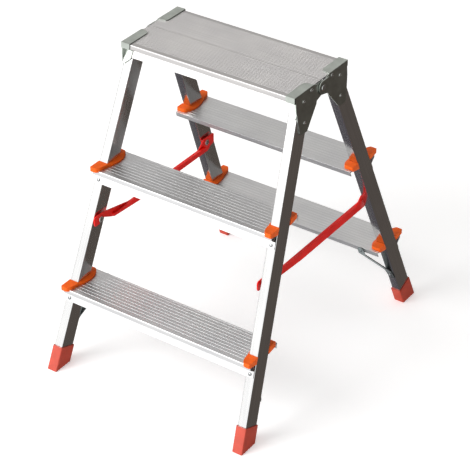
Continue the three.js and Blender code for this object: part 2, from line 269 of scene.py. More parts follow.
def coordinates(tree, stretch, attribute=None):
    """Rest coordinates in metres, or a stored attribute, times a scale for each axis."""
    if attribute:
        source = tree.nodes.new("ShaderNodeAttribute")
        source.attribute_name = attribute
        output = source.outputs["Vector"]
    else:
        source = tree.nodes.new("ShaderNodeTexCoord")
        output = source.outputs["Object"]
    mapping = tree.nodes.new("ShaderNodeMapping")
    mapping.inputs["Scale"].default_value = stretch
    tree.links.new(output, mapping.inputs["Vector"])
    return mapping.outputs["Vector"]


def noise(tree, vector, scale, detail):
    node = tree.nodes.new("ShaderNodeTexNoise")
    node.inputs["Scale"].default_value = scale
    node.inputs["Detail"].default_value = detail
    node.inputs["Roughness"].default_value = 0.55
    tree.links.new(vector, node.inputs["Vector"])
    return node.outputs["Fac"]


def ramp(tree, value, stops):
    node = tree.nodes.new("ShaderNodeValToRGB")
    elements = node.color_ramp.elements
    while len(elements) < len(stops):
        elements.new(0.5)
    for element, (position, colour) in zip(elements, stops):
        element.position = position
        element.color = (*colour, 1.0)
    tree.links.new(value, node.inputs["Fac"])
    return node.outputs["Color"]


def remap(tree, value, low, high):
    """A noise value, which mostly lies between 0.3 and 0.7, spread from low to high."""
    node = tree.nodes.new("ShaderNodeMapRange")
    node.inputs["From Min"].default_value = 0.3
    node.inputs["From Max"].default_value = 0.7
    node.inputs["To Min"].default_value = low
    node.inputs["To Max"].default_value = high
    tree.links.new(value, node.inputs["Value"])
    return node.outputs["Result"]


def multiplied(tree, first, second):
    node = tree.nodes.new("ShaderNodeMix")
    node.data_type = "RGBA"
    node.blend_type = "MULTIPLY"
    node.inputs["Factor"].default_value = 1.0
    tree.links.new(first, node.inputs["A"])
    tree.links.new(second, node.inputs["B"])
    return node.outputs["Result"]


def bumped(tree, shader, height, strength, depth):
    """Bumps as deep as the depth in metres, made weaker by the strength."""
    node = tree.nodes.new("ShaderNodeBump")
    node.inputs["Strength"].default_value = strength
    node.inputs["Distance"].default_value = depth
    tree.links.new(height, node.inputs["Height"])
    tree.links.new(node.outputs["Normal"], shader.inputs["Normal"])


def shades(base, *factors):
    """The base colour times each factor."""
    return [tuple(c * f for c in base) for f in factors]


# ---------------------------------------------------------------- materials
WHITE = (1.0, 1.0, 1.0)
ALUMINIUM = (0.80, 0.80, 0.79)
TREAD_ALUMINIUM = (0.78, 0.78, 0.78)
# the deck aluminium made darker for the platform: painted shade on the platform's top
PLATFORM_ALUMINIUM_PAINTED_SHADE = (0.64, 0.625, 0.615)
PLATE_ZINC = (0.56, 0.60, 0.555)
STRUT_ZINC = (0.24, 0.27, 0.275)
RIVET_STEEL = (0.78, 0.79, 0.77)
TREAD_RIVET_STEEL = (0.40, 0.41, 0.41)
CLIP_ORANGE = (0.92, 0.125, 0.004)
FOOT_RED = (0.58, 0.056, 0.024)
BRACE_RED = (0.90, 0.010, 0.006)
DOWN_A_STILE = (900, 900, 4)        # the noise is finest across the die lines
ALONG_A_TREAD = (5, 1100, 1100)
ALONG_THE_PLATFORM = (5, 900, 900)


def drawn_metal(name, base, rough, stretch, attribute=None):
    """Extruded or rolled metal: die lines along its length, and faint cloudy patches."""
    material, shader = new_material(name, metallic=1.0)
    tree = material.node_tree
    fine = noise(tree, coordinates(tree, stretch, attribute), 1.0, 4.0)
    cloud = noise(tree, coordinates(tree, (1, 1, 1), attribute), 11.0, 2.0)
    dark, light = shades(base, 0.86, 1.05)
    lines = ramp(tree, fine, [(0.3, dark), (0.7, light)])
    patches = ramp(tree, cloud, [(0.35, (0.93, 0.93, 0.94)), (0.65, WHITE)])
    tree.links.new(multiplied(tree, lines, patches), shader.inputs["Base Color"])
    tree.links.new(remap(tree, fine, rough[0], rough[1]), shader.inputs["Roughness"])
    bumped(tree, shader, fine, 0.12, 0.0002)
    return material


def plated_steel(name, base, rough):
    """Zinc plating: small crystalline patches with a cloudy, slightly green film."""
    material, shader = new_material(name, metallic=1.0)
    tree = material.node_tree
    place = coordinates(tree, (1, 1, 1))
    grain = tree.nodes.new("ShaderNodeTexVoronoi")
    grain.inputs["Scale"].default_value = 320.0
    tree.links.new(place, grain.inputs["Vector"])
    cloud = noise(tree, place, 45.0, 5.0)
    fine = noise(tree, place, 900.0, 2.0)
    dark, light = shades(base, 0.82, 1.1)
    film = ramp(tree, cloud, [(0.3, dark), (0.7, light)])
    edges = [(0.0, (0.94, 0.95, 0.94)), (0.6, WHITE)]
    crystals = ramp(tree, grain.outputs["Distance"], edges)
    tree.links.new(multiplied(tree, film, crystals), shader.inputs["Base Color"])
    tree.links.new(remap(tree, cloud, rough[0], rough[1]), shader.inputs["Roughness"])
    bumped(tree, shader, fine, 0.15, 0.0002)
    return material


def moulded_plastic(name, base, rough, specular=0.25):
    """Coloured plastic with a fine spark-eroded grain and slight flow marks."""
    material, shader = new_material(name, metallic=0.0, specular=specular, subsurface=0.06)
    tree = material.node_tree
    place = coordinates(tree, (1, 1, 1))
    flow = noise(tree, place, 60.0, 3.0)
    grain = noise(tree, place, 2600.0, 2.0)
    dark, light = shades(base, 0.88, 1.06)
    tree.links.new(ramp(tree, flow, [(0.3, dark), (0.7, light)]), shader.inputs["Base Color"])
    tree.links.new(remap(tree, flow, rough[0], rough[1]), shader.inputs["Roughness"])
    bumped(tree, shader, grain, 0.18, 0.0002)
    return material


def powder_paint(name, base):
    """Glossy powder coat with orange peel."""
    material, shader = new_material(name, metallic=0.0, specular=0.25, coat=0.08)
    shader.inputs["Coat Roughness"].default_value = 0.12
    tree = material.node_tree
    place = coordinates(tree, (1, 1, 1))
    peel = noise(tree, place, 700.0, 1.0)
    cloud = noise(tree, place, 25.0, 3.0)
    dark, light = shades(base, 0.86, 1.06)
    tree.links.new(ramp(tree, cloud, [(0.3, dark), (0.7, light)]), shader.inputs["Base Color"])
    tree.links.new(remap(tree, cloud, 0.3, 0.42), shader.inputs["Roughness"])
    bumped(tree, shader, peel, 0.1, 0.0003)
    return material


materials = {
    "tube": drawn_metal("aluminium_tube", ALUMINIUM, (0.14, 0.24), DOWN_A_STILE, "drawn"),
    "deck": drawn_metal("aluminium_deck", TREAD_ALUMINIUM, (0.34, 0.50), ALONG_A_TREAD),
    # the platform's darker colour is painted shade on its top, not a different metal
    "platform": drawn_metal("aluminium_platform_painted_shade", PLATFORM_ALUMINIUM_PAINTED_SHADE, (0.36, 0.50),
                            ALONG_THE_PLATFORM),
    "plate": plated_steel("zinc_plate", PLATE_ZINC, (0.32, 0.46)),
    "strut": plated_steel("zinc_strip", STRUT_ZINC, (0.32, 0.46)),
    "rivet": plated_steel("rivet_steel", RIVET_STEEL, (0.20, 0.32)),
    "tread_rivet": plated_steel("tread_rivet_steel", TREAD_RIVET_STEEL, (0.24, 0.36)),
    "clip": moulded_plastic("orange_plastic", CLIP_ORANGE, (0.5, 0.62)),
    "foot": moulded_plastic("foot_plastic", FOOT_RED, (0.34, 0.46), specular=0.7),
    "brace": powder_paint("red_paint", BRACE_RED),
}


# ---------------------------------------------------------------- stiles
def stile():
    x0, y0 = FLOOR_X - STILE_WIDTH, FLOOR_Y - STILE_DEPTH
    low, high = stile_low.z, stile_high.z
    tube = prism(rounded_rectangle(x0, FLOOR_X, y0, FLOOR_Y, STILE_CORNER),
                 low, high, "z", ALONG)
    w = STILE_WALL
    hollow = rounded_rectangle(x0 + w, FLOOR_X - w, y0 + w, FLOOR_Y - w, BORE_CORNER, 3)
    return cut(tube, prism(hollow, low - 5, high + 5, "z", ALONG))


def stile_space(outward=GAP):
    """A stile with a gap round it, as a cutting shape; outward is how far it goes sideways."""
    outline = rectangle(FLOOR_X - STILE_WIDTH - GAP, FLOOR_X + outward,
                        FLOOR_Y - STILE_DEPTH - GAP, FLOOR_Y + GAP)
    return prism(outline, -5, PLATFORM_TOP + 20, "z", ALONG)


# ---------------------------------------------------------------- treads and platform
GROOVE_PITCH = 8.93
GROOVE_COUNT = 9
FIRST_GROOVE = 12.5                 # behind the nose
LIP_GROOVE = 4.2                    # from the inner edge
TREAD_GROOVE = (2.4, 0.45)          # width and depth
PLATFORM_GROOVE = (0.9, 0.28)
NOSE_DROP = 10.5                    # height of the upright face at the nose
NOSE_RADIUS = 2.0
NOSE_WALL = 2.3
NOSE_BEND = 1.6                     # how much higher the bend is inside than outside
KINK_BEND = 0.9
LIP_SLANT = 3.0                     # how far the lip leans under the deck
LIP_RADIUS = 0.3
LIP_BEVEL = 1.0


def groove(middle, top, width, depth, steps=6):
    """A rounded groove across the deck's top line, from the inner to the outer side."""
    points = []
    for i in range(steps + 1):
        t = -1 + 2 * i / steps
        points.append((middle + t * width / 2, top - depth * (1 - t ** 4)))
    return points


def deck_profile(nose, inner, top, width, depth, split=1):
    """The section of a deck: grooves on top, a skirt in front and a lip behind."""
    pitch = GROOVE_PITCH / split
    grooves = [nose - FIRST_GROOVE - pitch * i for i in range(GROOVE_COUNT * split)]
    bend, kink, low = top - NOSE_DROP, top - KINK_DROP, top - SKIRT_DROP
    skirt_kink, skirt_low = skirt_face(kink), skirt_face(low)
    inside, under = nose - NOSE_WALL, top - DECK_THICKNESS
    lip, lip_low = inner + LIP_SLANT, top - LIP_DROP

    points = arc(inner + LIP_RADIUS, top - LIP_RADIUS, LIP_RADIUS, 180, 90, 2)
    for middle in (inner + LIP_GROOVE, *reversed(grooves)):
        points += groove(middle, top, width, depth)
    points += arc(nose - NOSE_RADIUS, top - NOSE_RADIUS, NOSE_RADIUS, 90, 0, 5)
    points += [(nose, bend), (skirt_kink, kink), (skirt_low, low)]
    points += [(skirt_low - SKIRT_FACE, low), (skirt_kink - SKIRT_FACE, kink + KINK_BEND)]
    points += [(inside, bend + NOSE_BEND), (inside, under)]
    points += [(inner + SKIRT_WALL + LIP_BEVEL, under), (inner + SKIRT_WALL, under - LIP_BEVEL)]
    points += [(lip + SKIRT_WALL, lip_low + LIP_BEVEL), (lip + SKIRT_WALL, lip_low)]
    points += [(lip, lip_low)]
    return points


def tread(top):
    nose = outer_y(top) + TREAD_OVERHANG
    end = FLOOR_X + 5
    bar = prism(deck_profile(nose, nose - DECK_DEPTH, top, *TREAD_GROOVE), -end, end)
    beyond = prism(rectangle(FLOOR_X - END_INSET, FLOOR_X + CLEAR, 0, FAR),
                   -5, PLATFORM_TOP, "z", SIDEWAYS)
    notch = stile_space(CLEAR)
    return cut(bar, mirrored_copy(notch, -1, 1), mirrored_copy(beyond, -1, 1), notch, beyond)


def platform():
    profile = deck_profile(PLATFORM_NOSE, GAP, PLATFORM_TOP, *PLATFORM_GROOVE, split=2)
    return prism(profile, -PLATFORM_END, PLATFORM_END)


# ---------------------------------------------------------------- clips
CLIP_HEIGHT = 8.0
CLIP_SKIN = 0.8
CLIP_WALL = 1.8
CLIP_NOSE = 6.5
CLIP_TAIL = 24.7
CLIP_BULGE = 10.0
CLIP_ROUND = 4.0
CLIP_EDGE = 1.2
CLIP_UNDER = 7.0                    # how far it reaches below the tread's top
CLIP_FALL = 22.0                    # how far its top falls away over CLIP_RUN, inwards
CLIP_RUN = 40.0


def clip(top):
    """The collar that fills the notch between tread and stile, and caps the tread's corner."""
    side_outer, side_inner = outer_x(top), inner_x(top)
    front, rear = outer_y(top), inner_y(top)
    nose = front + TREAD_OVERHANG
    tip, tail = nose + CLIP_NOSE, rear - CLIP_TAIL
    side = side_outer + CLIP_SKIN
    bulge = side_inner - CLIP_BULGE
    high = top + CLIP_HEIGHT
    plan = eased([
        (side, tip), (side_inner + 6.5, tip - 0.8), (side_inner + 1, nose - 3.5),
        (side_inner - 3.5, front - 3), (side_inner - 7, front - 12), (bulge, rear + 12),
        (bulge + 0.5, rear), (side_inner - 7, rear - 10), (side_inner - 1, tail + 3.5),
        (side_inner + 5, tail), (side, tail)], CLIP_ROUND)
    profile = [(tail, top - 2.4), (rear, top - CLIP_UNDER), (front, top - CLIP_UNDER),
               (tip, top - 1.5), (tip, high - CLIP_EDGE), (tip - CLIP_EDGE, high),
               (tail + CLIP_EDGE, high), (tail, high - CLIP_EDGE)]
    block = kept(prism(plan, top - CLIP_UNDER - 3, high + 2, "z"),
                 prism(profile, side_inner - 20, side + 5))
    over_tread = prism([
        (0, top - 40), (nose + GAP, top - 40), (nose + GAP, top - 2.2), (nose - 0.4, top - 0.4),
        (nose - 2.2, top + GAP), (0, top + GAP)], 0, side - CLIP_WALL)
    slope = prism([
        (side_inner - 0.5, high), (side_inner - CLIP_RUN, high - CLIP_FALL),
        (side_inner - CLIP_RUN, high + 20), (side_inner - 0.5, high + 20)], 0, FAR, "y")
    return cut(block, over_tread, stile_space(CLEAR), slope)


# ---------------------------------------------------------------- feet
FOOT_WALL_X = 2.0
FOOT_WALL_Y = 3.0
FOOT_SOLE = 4.0
FOOT_HEIGHT = 61.0                  # of the rim, right above the sole's outer edge
FOOT_CORNER = 2.6
FOOT_GROOVES = 5
FOOT_GROOVE_DEPTH = 1.3
FOOT_GROOVE_HALF = 0.9              # at its bottom
FOOT_GROOVE_MOUTH = 1.6             # half of its width, 1 mm below the sole


def foot():
    x0, x1 = FLOOR_X - STILE_WIDTH - FOOT_WALL_X, FLOOR_X + FOOT_WALL_X
    y0, y1 = FLOOR_Y - STILE_DEPTH - FOOT_WALL_Y, FLOOR_Y + FOOT_WALL_Y
    outer = prism(rounded_rectangle(x0, x1, y0, y1, FOOT_CORNER), 0, 90, "z", ALONG)
    inside = cut(stile_space(), prism(rectangle(0, FAR, 0, FAR), -20, FOOT_SOLE, "z"))
    rim = [(y1 + reach, FOOT_HEIGHT + reach * LEAN_Y) for reach in (40, -120)]
    above = prism(rim + [(y, 200) for y, _ in reversed(rim)], 0, 400)
    pitch = (y1 - y0) / (FOOT_GROOVES + 1)
    section = [(-FOOT_GROOVE_MOUTH, -1), (-FOOT_GROOVE_HALF, FOOT_GROOVE_DEPTH),
               (FOOT_GROOVE_HALF, FOOT_GROOVE_DEPTH), (FOOT_GROOVE_MOUTH, -1)]
    grooves = [
        prism([(y0 + pitch * (i + 1) + y, z) for y, z in section], 0, 400)
        for i in range(FOOT_GROOVES)
    ]
    return cut(outer, inside, above, *grooves)


# ---------------------------------------------------------------- hinge plates
LOBE_RADIUS = 14.0
PIN_RADIUS = 2.9
FLANGE_WIDTH = 19.0
FLANGE_INNER_END = 27.0
FLANGE_THICKNESS = 1.8
WRAP_TIP = 640.0
PLATE_FRONT = 92.0
PLATE_HEEL = 16.6
TOE_RADIUS = 6.0
TOE_HEIGHT = 611.0                  # of the middles of the two lower corners
LOBE_REACH = 20.0
STEP_NEAR, STEP_FAR = 17.0, 22.0    # where the outer lobe steps over the other plate
STEP_LOW, STEP_HIGH = 656.0, 686.0


def plate_outline():
    top = PLATFORM_TOP + 1
    return ([(PLATE_FRONT, top), (PLATE_FRONT, 662), (outer_y(645) + 2, 645), (84, TOE_HEIGHT)]
            + arc(77, TOE_HEIGHT, TOE_RADIUS, 0, -90, 5)
            + arc(61, TOE_HEIGHT, TOE_RADIUS, -90, -140, 4)
            + [(22, 648), (PLATE_HEEL, 664), (PLATE_HEEL, 688), (FLANGE_INNER_END, top)])


def lobe(left, right, reach):
    """The eye round the hinge axis, with a neck that reaches into the plate."""
    neck = [(0, PIVOT_HEIGHT - LOBE_RADIUS), (reach, PIVOT_HEIGHT - LOBE_RADIUS - 6),
            (reach, PIVOT_HEIGHT + LOBE_RADIUS), (0, PIVOT_HEIGHT + LOBE_RADIUS)]
    circle = arc(0, PIVOT_HEIGHT, LOBE_RADIUS, 0, 360, 48)[:-1]
    return joined(prism(circle, left, right, "x", SIDEWAYS),
                  prism(neck, left, right, "x", SIDEWAYS))


def flange_parts():
    """The flange over the platform, and the three-cornered one wrapped over its front edge."""
    outer = plate_face(PLATFORM_TOP) - 0.4
    inner = outer - FLANGE_WIDTH - PLATE_THICKNESS
    low = PLATFORM_TOP + GAP
    high = low + FLANGE_THICKNESS
    face = PLATFORM_NOSE + GAP
    t = FLANGE_THICKNESS
    over = prism([
        (inner, FLANGE_INNER_END + 9), (inner + 3, FLANGE_INNER_END + 4),
        (outer, FLANGE_INNER_END), (outer, face + t), (inner, face + t)], low, high, "z")
    drop, kink = PLATFORM_TOP - NOSE_DROP, PLATFORM_TOP - KINK_DROP
    wrap = prism([
        (face, high - 0.1), (face, drop), (skirt_face(kink) + GAP, kink),
        (skirt_face(WRAP_TIP) + GAP, WRAP_TIP), (skirt_face(WRAP_TIP) + GAP + t, WRAP_TIP),
        (skirt_face(kink) + GAP + t, kink), (face + t, drop - 0.6), (face + t, high - 0.1)],
        inner, outer)
    corner = prism([
        (inner - 30, PLATFORM_TOP - 2), (inner - 0.1, PLATFORM_TOP - 2),
        (inner + 4.5, WRAP_TIP + 14), (outer + 1, WRAP_TIP), (outer + 1, WRAP_TIP - 40),
        (inner - 30, WRAP_TIP - 40)], 40, 200, "y")
    return over, cut(wrap, corner)


def hinge_plate(outside):
    """A plate on its stile; the outside one's lobe lies over the other plate's lobe."""
    in_face = FLOOR_X + GAP
    out_face = in_face + PLATE_THICKNESS
    over, wrap = flange_parts()
    body = joined(prism(plate_outline(), in_face, out_face, "x", SIDEWAYS), over, wrap)
    if not outside:
        return joined(body, lobe(in_face, out_face, LOBE_REACH))
    near = out_face + LAYER_GAP
    far = near + PLATE_THICKNESS
    step = prism(rectangle(STEP_NEAR, STEP_FAR, STEP_LOW, STEP_HIGH), in_face, far,
                 "x", SIDEWAYS)
    return joined(body, lobe(near, far, STEP_FAR), step)


# ---------------------------------------------------------------- rivets and pins
FRONT_NORMAL = Vector((0, 1, LEAN_Y)).normalized()
SIDE_NORMAL = Vector((1, 0, LEAN_X)).normalized()
RIGHTWARDS = Vector((1, 0, 0))
STILE_GRIP = 4.6                    # thickness that a rivet holds together
PLATE_GRIP = 4.8
STRIP_GRIP = 3.4
HEAD_LIFT = 0.05
HEAD_RIM = 0.35                     # height of the straight edge of a head
STEM_RADIUS = 0.9
SMALL_HEAD = 3.4
LARGE_HEAD = 4.2
PIN_END = 206.0                     # from the middle plane, on the stile's inward side
PIN_COLLAR = 4.0
PIN_HEAD = 6.4
PIN_RIM = 0.9
PIN_DOME = 2.6


def rivet(origin, axis, grip, head=RIVET_HEAD, dome=2.0):
    """A domed blind rivet with a small dimple where its stem broke off."""
    rim = HEAD_LIFT + HEAD_RIM
    profile = [(0, -grip - 1.5), (RIVET_SHANK + 1, -grip - 1.5), (RIVET_SHANK + 1.3, -grip),
               (RIVET_SHANK, -grip), (RIVET_SHANK, HEAD_LIFT), (head, HEAD_LIFT), (head, rim)]
    for i in range(1, 7):
        angle = math.radians(15 * i)
        radius = head * math.cos(angle)
        if radius > STEM_RADIUS:
            profile.append((radius, rim + (dome - HEAD_RIM) * math.sin(angle)))
    top = profile[-1][1]
    profile += [(0.85, top), (0.6, top - 0.45), (0, top - 0.55)]
    return turned(profile, origin, axis)


def tread_rivet(top):
    z = top - TREAD_RIVET_DROP
    point = (outer_x(z) - STILE_WIDTH / 2, skirt_face(z), z)
    return rivet(point, FRONT_NORMAL, STILE_GRIP)


def platform_rivet():
    z = PLATFORM_TOP - TREAD_RIVET_DROP - 1
    point = (outer_x(z) - STILE_WIDTH / 2 - 2, skirt_face(z), z)
    return rivet(point, FRONT_NORMAL, STILE_GRIP, SMALL_HEAD, 1.7)


def plate_rivet(index):
    y, z = PLATE_RIVETS[index]
    head = LARGE_HEAD if index == 0 else RIVET_HEAD
    return rivet((plate_face(z), y, z), SIDE_NORMAL, PLATE_GRIP, head)


def hinge_pin():
    face = plate_face(PIVOT_HEIGHT) + LAYER_GAP + PLATE_THICKNESS
    neck = PIN_END + 1.6
    profile = [(0, PIN_END), (PIN_COLLAR, PIN_END), (PIN_COLLAR, neck), (PIN_RADIUS, neck),
               (PIN_RADIUS, face + GAP), (PIN_HEAD, face + GAP), (PIN_HEAD, face + PIN_RIM)]
    profile += [(PIN_HEAD * math.cos(a), face + PIN_RIM + PIN_DOME * math.sin(a))
                for a in (math.radians(d) for d in (20, 40, 58))]
    profile += [(2.9, face + 3.2), (2.4, face + 2.7), (0, face + 2.6)]
    return turned(profile, (0, 0, PIVOT_HEIGHT), RIGHTWARDS)


# ---------------------------------------------------------------- braces
BRACE_HEIGHT = 321.0
BRACE_REACH = {"front": 196.0, "rear": 183.0}
BRACE_END = {"front": 217.0, "rear": 210.0}
BRACE_X = 204.4
BRACE_WEB = 2.0
BRACE_LEDGE_X = 199.0
BRACE_LEDGE_END = {"front": 157.0, "rear": 172.0}
BRACE_LOW = 298.0
BRACE_HIGH = 315.5
BRACE_END_HALF = 13.0
BRACE_ROUND = 6.0
BRACE_BORE = 3.2
CLAW_DROP = 9.5                     # how far the hook's tip reaches below the stud's middle
MOUTH_RISE = 6.0                    # how far the slot starts above the bar's lower edge
PIVOT_NECK = 2.9
STUD_RADIUS = 4.0
STUD_HEAD = 6.5
STUD_SEAT = 0.4                     # free space between the hook and the stud
STUD_PLAY = 0.6                     # the same, where the stud swings past


def stud_sweep(z):
    """Where the folding stud's edge leaves the brace free, at a height above the floor."""
    stud = math.hypot(BRACE_REACH["front"], PIVOT_HEIGHT - BRACE_HEIGHT)
    return -math.sqrt((stud - STUD_RADIUS - STUD_PLAY) ** 2 - (PIVOT_HEIGHT - z) ** 2)


def brace():
    """One angle bar, pivoted at the rear and hooked over a stud in front."""
    low, high = BRACE_HEIGHT - BRACE_END_HALF, BRACE_HEIGHT + BRACE_END_HALF
    claw = -(BRACE_REACH["front"] + STUD_RADIUS + STUD_SEAT)
    claw_low = BRACE_HEIGHT - CLAW_DROP
    pivot = BRACE_REACH["rear"]
    roof = BRACE_HEIGHT + STUD_RADIUS + STUD_SEAT
    front, rear = -BRACE_END["front"], BRACE_END["rear"]
    mouth = BRACE_LOW + MOUTH_RISE
    slot = [mouth + t / 5 * (roof - mouth) for t in range(6)]
    outline = eased([
        (front, claw_low), (front, high), (claw + 14, high), (claw + 100, BRACE_HIGH),
        (pivot - 30, BRACE_HIGH), (pivot - 10, high), (rear, high), (rear, low),
        (pivot + 14, low), (pivot + 6, BRACE_LOW), (claw + 140, BRACE_LOW)], BRACE_ROUND)
    outline += [(stud_sweep(z), z) for z in slot] + [(claw, roof), (claw, claw_low)]
    web = prism(outline, BRACE_X, BRACE_X + BRACE_WEB)
    ledge = prism(rectangle(
        BRACE_LEDGE_X, BRACE_X + 0.5, -BRACE_LEDGE_END["front"], BRACE_LEDGE_END["rear"]),
        BRACE_HIGH - BRACE_WEB, BRACE_HIGH, "z")
    hole = prism(arc(pivot, BRACE_HEIGHT, BRACE_BORE, 0, 360, 24)[:-1],
                 BRACE_X - 5, BRACE_X + 5)
    return cut(joined(web, ledge), hole)


def brace_stud(neck, end):
    """A shouldered stud from inside the stile's wall to its head on the bar's inward face."""
    wall = inner_x(BRACE_HEIGHT)
    inside_wall, tail = wall + 2.3, wall + 3.6
    inward, outward = BRACE_X - GAP, BRACE_X + BRACE_WEB + GAP
    profile = [(0, BRACE_X - 2.6), (2.2, BRACE_X - 2.7), (STUD_HEAD - 2, BRACE_X - 2.8),
               (STUD_HEAD - 0.6, BRACE_X - 2.2), (STUD_HEAD, BRACE_X - 1.2),
               (STUD_HEAD, inward), (neck, inward), (neck, outward), (STUD_HEAD, outward),
               (STUD_HEAD, wall - GAP), (RIVET_SHANK, wall - GAP), (RIVET_SHANK, inside_wall),
               (RIVET_SHANK + 1.6, inside_wall), (RIVET_SHANK + 1.2, tail), (0, tail)]
    return turned(profile, (0, BRACE_REACH[end], BRACE_HEIGHT), RIGHTWARDS)


# ---------------------------------------------------------------- struts
STRUT_WIDTH = 15.9
STRUT_THICKNESS = 2.0
STRUT_X = 235.0
STRUT_Z = 94.0
STRUT_SLOPE = 0.443                 # how far it runs inwards for each mm up
STRUT_LAY = STRUT_THICKNESS * 1.1   # its thickness across the leaning face


def strut_lip():
    """Where the strut lies on the inner lip of the lower tread."""
    return outer_y(TREAD_TOPS["lower"]) + TREAD_OVERHANG - DECK_DEPTH - GAP


def strut():
    """A flat strip from the stile's inward face to the lower tread's lip, with rounded ends."""
    top = TREAD_TOPS["lower"]
    lip, t = strut_lip(), STRUT_THICKNESS
    low, bend, high = STRUT_Z - 13, STRUT_Z + 9, top - 1.5
    face_low, face_bend = inner_y(low) - GAP, inner_y(bend) - GAP
    side = [(face_low, low), (face_bend, bend), (lip, top - 14), (lip, high), (lip - t, high),
            (lip - t, top - 14.8), (face_bend - t * 1.2, bend - 1.2),
            (face_low - STRUT_LAY, low)]
    left, right = STRUT_X - STRUT_WIDTH / 2, STRUT_X + STRUT_WIDTH / 2
    plan = rounded_rectangle(left, right, low, high, STRUT_WIDTH / 2.2, 6)
    strip = kept(prism(side, left, right), prism(plan, 100, 340, "y"))
    for vertex in strip.data.vertices:
        vertex.co.x -= STRUT_SLOPE * (vertex.co.z - STRUT_Z * MM)
    return strip


def strut_rivet(upper):
    if upper:
        z = TREAD_TOPS["lower"] - 7.5
        point = (STRUT_X - STRUT_SLOPE * (z - STRUT_Z), strut_lip() - STRUT_THICKNESS, z)
        return rivet(point, (0, -1, 0), STRIP_GRIP, SMALL_HEAD, 1.6)
    z = STRUT_Z - 4
    point = (STRUT_X, inner_y(z) - GAP - STRUT_LAY, z)
    return rivet(point, -FRONT_NORMAL, STILE_GRIP, 3.6, 1.7)


# ---------------------------------------------------------------- placing
BEVEL_ANGLE = math.radians(32)      # edges sharper than this are bevelled
SHARP_ANGLE = math.radians(40)
LINE_SHIFT = 0.3                    # moves the die lines for each letter of a piece's name


def keep_drawing(mesh, side_x, side_y, offset):
    """Stores where each point was before its stile leaned, for the die lines."""
    drawn = mesh.attributes.new("drawn", "FLOAT_VECTOR", "POINT")
    for vertex, value in zip(mesh.vertices, drawn.data):
        x, y, z = vertex.co
        value.vector = (x + side_x * LEAN_X * z + offset, y + side_y * LEAN_Y * z, z)


def place(design, name, body, look, slot, sides, node=None, bevel=None):
    """A copy of a design in its corner; bevel is the width of its eased edges."""
    piece = mirrored_copy(design, *sides)
    piece.name = name
    piece.data.name = name
    piece.data.materials.clear()
    piece.data.materials.append(materials[look])
    if look == "tube":
        keep_drawing(piece.data, *sides, LINE_SHIFT * len(name))
    piece.data.shade_smooth()
    if bevel:
        edge = piece.modifiers.new("edge", "BEVEL")
        edge.width = bevel * MM
        edge.segments = 2
        edge.limit_method = "ANGLE"
        edge.angle_limit = BEVEL_ANGLE
        edge.harden_normals = True
    else:
        piece.data.set_sharp_from_angle(angle=SHARP_ANGLE)
    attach(piece, body)
    if node:
        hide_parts(node)
    return piece


def build_ladder():
    designs = {
        "stile": stile(), "foot": foot(), "strut": strut(), "platform": platform(),
        "rear_plate": hinge_plate(True), "front_plate": hinge_plate(False),
        "platform_rivet": platform_rivet(),
        "strut_rivet_lower": strut_rivet(False), "strut_rivet_upper": strut_rivet(True),
        "pin": hinge_pin(), "brace": brace(),
        "pivot": brace_stud(PIVOT_NECK, "rear"), "stud": brace_stud(STUD_RADIUS, "front"),
    }
    for level, top in TREAD_TOPS.items():
        designs[f"{level}_tread"] = tread(top)
        designs[f"{level}_clip"] = clip(top)
        designs[f"{level}_rivet"] = tread_rivet(top)
    for i in range(len(PLATE_RIVETS)):
        designs[f"plate_rivet_{i}"] = plate_rivet(i)

    def put(design, node, body, look, slot, sides, bevel=None):
        """Places a design instead of a CAD node."""
        place(designs[design], f"{node}_finished", body, look, slot, sides, node, bevel)

    for end, y in (("front", -1), ("rear", 1)):
        body = f"{end}_frame"
        put("platform", f"{end}_platform_half", body, "platform", "aluminium_deck", (1, y), 0.25)
        for level in TREAD_TOPS:
            put(f"{level}_tread", f"{end}_{level}_tread", body, "deck", "aluminium_deck",
                (1, y), 0.25)
        for side, x in (("left", -1), ("right", 1)):
            corner = f"{end}_{side}"
            sides = (x, y)
            put("stile", f"{corner}_stile", body, "tube", "aluminium_tube", sides, 0.3)
            put("foot", f"{corner}_foot", body, "foot", "foot_plastic", sides, 0.8)
            put(f"{end}_plate", f"{corner}_hinge_plate", body, "plate", "zinc_steel", sides, 0.5)
            put("strut", f"{corner}_strut", body, "strut", "zinc_steel", sides, 0.4)
            for level in TREAD_TOPS:
                put(f"{level}_clip", f"{corner}_{level}_clip", body, "clip", "clip_plastic",
                    sides, 0.7)
                put(f"{level}_rivet", f"{corner}_{level}_tread_rivet", body, "tread_rivet",
                    "rivet_metal", sides)
            for i in range(len(PLATE_RIVETS)):
                put(f"plate_rivet_{i}", f"{corner}_plate_rivet_{i + 1}", body, "rivet",
                    "rivet_metal", sides)
            for extra, look in (("platform_rivet", "rivet"), ("strut_rivet_lower", "tread_rivet"),
                                ("strut_rivet_upper", "strut")):
                place(designs[extra], f"{corner}_{extra}", body, look, "rivet_metal", sides)

    for side, x in (("left", -1), ("right", 1)):
        put("pin", f"{side}_hinge_pin", "rear_frame", "rivet", "rivet_metal", (x, 1))
        put("brace", f"{side}_brace", f"{side}_brace", "brace", "red_paint", (x, 1), 0.6)
        put("pivot", f"{side}_brace_pivot", "rear_frame", "rivet", "rivet_metal", (x, 1))
        put("stud", f"{side}_brace_stud", "front_frame", "rivet", "rivet_metal", (x, -1))

    for design in designs.values():
        bpy.data.objects.remove(design)


# ---------------------------------------------------------------- camera, floor and light
CAMERA_AZIMUTH = math.radians(35.29)
CAMERA_ELEVATION = math.radians(33.63)
CAMERA_ROLL = math.radians(-0.56)
CAMERA_DISTANCE = 3.87612
CAMERA_TARGET = (-0.00018, 0.24986)     # to the right of the axis, and above the floor
CAMERA_LENS = 139.39
CAMERA_SENSOR = 36.0
FLOOR_RADIUS = 9000
FLOOR_THICKNESS = 20
FLOOR_DROP = 0.5                    # below the feet


